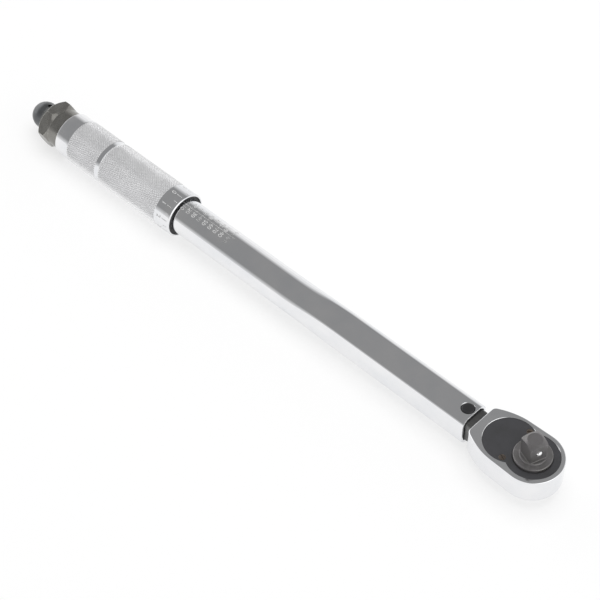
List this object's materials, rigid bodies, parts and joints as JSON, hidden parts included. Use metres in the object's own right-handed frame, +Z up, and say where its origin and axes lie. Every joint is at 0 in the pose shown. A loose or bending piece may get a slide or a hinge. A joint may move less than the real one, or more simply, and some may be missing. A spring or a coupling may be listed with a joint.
{
  "type": "torque wrench",
  "caption": "Click-type torque wrench: square drive ratchet head pivoting in a chromed tube, knurled turning handle that sets the spring load, domed lock knob.",
  "frame": {"origin": "on the drive axis, in the plane of the ring face that a socket seats against", "axes": "+Z up along the drive square, +X from the handle towards the nose of the head, +Y to the left of +X"},
  "size_m": [0.37, 0.0316, 0.034],
  "materials": {
    "chrome_tube": "bright chrome plate on drawn steel tube",
    "chrome_handle": "bright chrome plate, diamond knurled",
    "chrome_head": "bright chrome plate on a forging, neck left dark",
    "cover_black": "black oxide on pressed steel",
    "drive_steel": "dark phosphate on machined alloy steel",
    "knob_steel": "oiled dark steel with bright worn edges",
    "pin_steel": "black oxide on hardened steel",
    "bare_steel": "plain machined steel, oiled",
    "spring_steel": "oil-tempered spring wire",
    "ball_steel": "polished bearing steel",
    "yellow_zinc": "yellow zinc plate",
    "bronze": "sintered bronze, oiled",
    "nylon_black": "moulded nylon",
    "lever_chrome": "chrome plate on a small casting"
  },
  "bodies": {
    "tube": {"body_tube": "chrome_tube", "pivot_pin": "pin_steel", "thread_nut": "bare_steel", "nut_pins": "spring_steel", "main_spring": "spring_steel"},
    "plunger": {"plunger": "bare_steel"},
    "tilt_block": {"tilt_block": "bare_steel"},
    "head": {"ratchet_head": "chrome_head", "cover_plate": "cover_black", "cover_screws": "yellow_zinc", "pawl_pin": "bare_steel"},
    "lever": {"reverse_lever": "lever_chrome", "lever_cam": "bare_steel", "lever_screw": "yellow_zinc", "pawl_spring": "spring_steel"},
    "push_rod": {"push_rod": "bare_steel"},
    "pawl": {"pawl": "drive_steel"},
    "drive": {"drive_gear": "drive_steel", "detent_spring": "spring_steel"},
    "detent_ball": {"detent_ball": "ball_steel"},
    "spring_seat": {"spring_seat": "bare_steel", "thrust_washer": "bronze"},
    "handle": {"handle_sleeve": "chrome_handle", "guide_ring": "nylon_black", "end_plug": "bare_steel", "grub_screws": "pin_steel", "adjusting_screw": "bare_steel", "lock_collar": "bare_steel"},
    "lock_rod": {"lock_rod": "bare_steel"},
    "lock_knob": {"lock_knob": "knob_steel", "knob_stud": "bare_steel", "knob_set_screw": "pin_steel", "knob_washer": "nylon_black"},
    "lock_ball_top": {"lock_ball_top": "ball_steel"},
    "lock_ball_bottom": {"lock_ball_bottom": "ball_steel"}
  },
  "joints": [
    {"name": "head_click", "type": "hinge", "parent": "tube", "child": "head", "pos_m": [-0.0402, 0, -0.0097], "axis": [0, 0, 1], "range_deg": [-2.2, 2.2], "stiffness_Nm_per_rad": 5},
    {"name": "block_tilt", "type": "hinge", "parent": "tube", "child": "tilt_block", "pos_m": [-0.1184, 0, -0.0097], "axis": [0, 0, 1], "range_deg": [-15, 15]},
    {"name": "plunger_press", "type": "slide", "parent": "tube", "child": "plunger", "axis": [1, 0, 0], "range_m": [-0.0008, 0], "stiffness_N_per_m": 500, "springref_m": 0.002, "deforming": ["main_spring"]},
    {"name": "drive_turn", "type": "hinge", "parent": "head", "child": "drive", "pos_m": [0, 0, 0], "axis": [0, 0, 1], "continuous": true},
    {"name": "detent_press", "type": "slide", "parent": "drive", "child": "detent_ball", "axis": [0.9397, -0.342, 0], "range_m": [-0.0009, 0], "stiffness_N_per_m": 50, "springref_m": 0.001, "deforming": ["detent_spring"]},
    {"name": "reverse_flip", "type": "hinge", "parent": "head", "child": "lever", "pos_m": [-0.0225, 0, -0.0169], "axis": [0, 0, 1], "range_deg": [0, 70]},
    {"name": "pawl_rock", "type": "hinge", "parent": "head", "child": "pawl", "pos_m": [-0.0152, 0, -0.0097], "axis": [0, 0, 1], "range_deg": [-8.7, 0]},
    {"name": "push_rod_press", "type": "slide", "parent": "lever", "child": "push_rod", "axis": [0.8192, -0.5736, 0], "range_m": [-0.0007, 0], "stiffness_N_per_m": 50, "springref_m": 0.001, "deforming": ["pawl_spring"]},
    {"name": "screw_advance", "type": "slide", "parent": "tube", "child": "spring_seat", "axis": [1, 0, 0], "range_m": [0, 0.028], "deforming": ["main_spring"]},
    {"name": "handle_turn", "type": "hinge", "parent": "spring_seat", "child": "handle", "pos_m": [-0.2815, 0, -0.0097], "axis": [1, 0, 0], "range_deg": [0, 5060]},
    {"name": "lock_advance", "type": "slide", "parent": "handle", "child": "lock_rod", "axis": [1, 0, 0], "range_m": [-0.00225, 0]},
    {"name": "lock_turn", "type": "hinge", "parent": "lock_rod", "child": "lock_knob", "pos_m": [-0.3385, 0, -0.0097], "axis": [1, 0, 0], "range_deg": [-545, 0]},
    {"name": "lock_ball_top_press", "type": "slide", "parent": "handle", "child": "lock_ball_top", "axis": [0, 0, 1], "range_m": [-0.00031, 0]},
    {"name": "lock_ball_bottom_press", "type": "slide", "parent": "handle", "child": "lock_ball_bottom", "axis": [0, 0, -1], "range_m": [-0.00031, 0]}
  ],
  "couplings": [
    {"joint": "block_tilt", "follows": "head_click", "ratio": -6.78},
    {"joint": "pawl_rock", "follows": "reverse_flip", "ratio": -0.12286},
    {"joint": "handle_turn", "follows": "screw_advance", "rad_per_m": 3141.6},
    {"joint": "lock_turn", "follows": "lock_advance", "rad_per_m": 4188.8},
    {"joint": "lock_ball_top_press", "follows": "lock_advance", "ratio": 0.13333},
    {"joint": "lock_ball_bottom_press", "follows": "lock_advance", "ratio": 0.13333}
  ]
}
